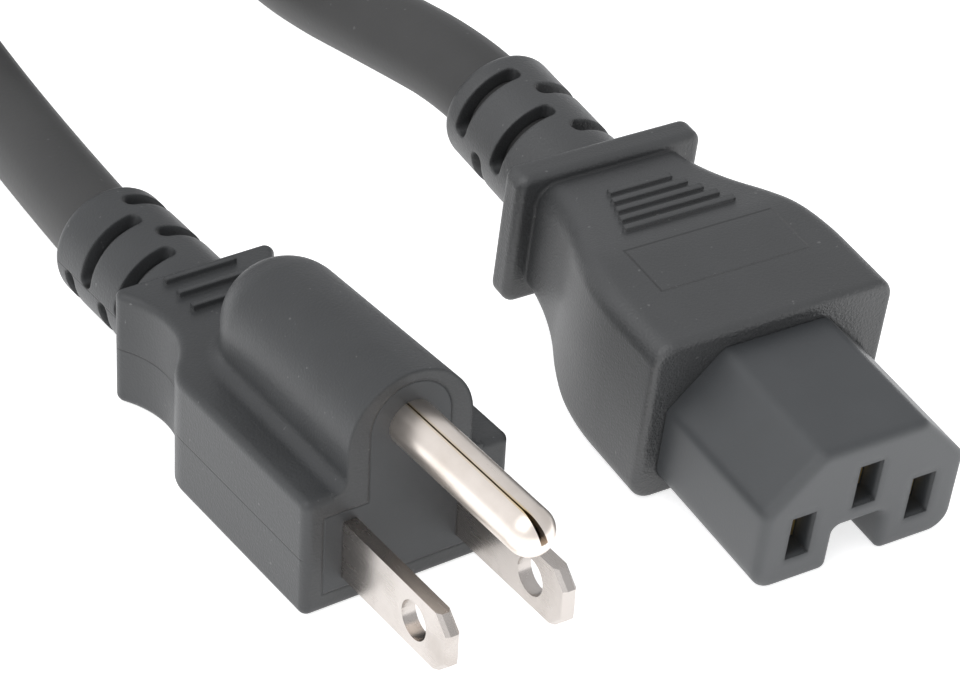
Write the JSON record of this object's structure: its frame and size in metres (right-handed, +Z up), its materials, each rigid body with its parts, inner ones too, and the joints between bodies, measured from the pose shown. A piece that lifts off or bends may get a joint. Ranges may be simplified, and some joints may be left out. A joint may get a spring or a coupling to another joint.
{
  "type": "type b plug",
  "caption": "Grounded mains plug with flat blades and a round earth pin, moulded on a flexible cord that ends in a keyed appliance connector, its spare length tied in a hank.",
  "frame": {"origin": "on the surface that the plug lies on, under the middle of the plug's box, from the ground pin's tip to the end of its strain relief", "axes": "+Z up, with the ground pin uppermost; the blades and pin point along -Y and the cord leaves along +Y"},
  "size_m": [0.0908, 0.2598, 0.0306],
  "materials": {
    "overmould": "matte black soft plastic with a fine grain",
    "nose": "smoother matte black moulding",
    "bridge": "matte black moulding",
    "cord_jacket": "matte black cord jacket",
    "plated_metal": "nickel plated sheet",
    "plated_pin": "nickel plated rolled sheet with bare edges",
    "contact_brass": "bare brass strip",
    "copper": "bare copper strands",
    "insulation_white": "plain white insulation",
    "insulation_black": "plain black insulation",
    "insulation_green": "plain green insulation",
    "tie_strap": "black woven strap"
  },
  "bodies": {
    "root": {"plug_overmould": "overmould", "connector_overmould": "overmould", "plug_bridge": "bridge", "connector_nose": "nose", "neutral_blade": "plated_metal", "line_blade": "plated_metal", "ground_pin": "plated_pin", "plug_cord_end": "cord_jacket", "connector_cord_end": "cord_jacket", "cord_plug_run": "cord_jacket", "cord_hank": "cord_jacket", "cord_connector_run": "cord_jacket", "cord_tie_left": "tie_strap", "cord_tie_right": "tie_strap", "plug_neutral_insulation": "insulation_white", "plug_neutral_strands": "copper", "plug_line_insulation": "insulation_black", "plug_line_strands": "copper", "plug_ground_insulation": "insulation_green", "plug_ground_strands": "copper", "connector_neutral_insulation": "insulation_white", "connector_neutral_strands": "copper", "connector_neutral_contact": "contact_brass", "connector_line_insulation": "insulation_black", "connector_line_strands": "copper", "connector_line_contact": "contact_brass", "connector_earth_insulation": "insulation_green", "connector_earth_strands": "copper", "connector_earth_contact": "contact_brass"}
  },
  "joints": []
}
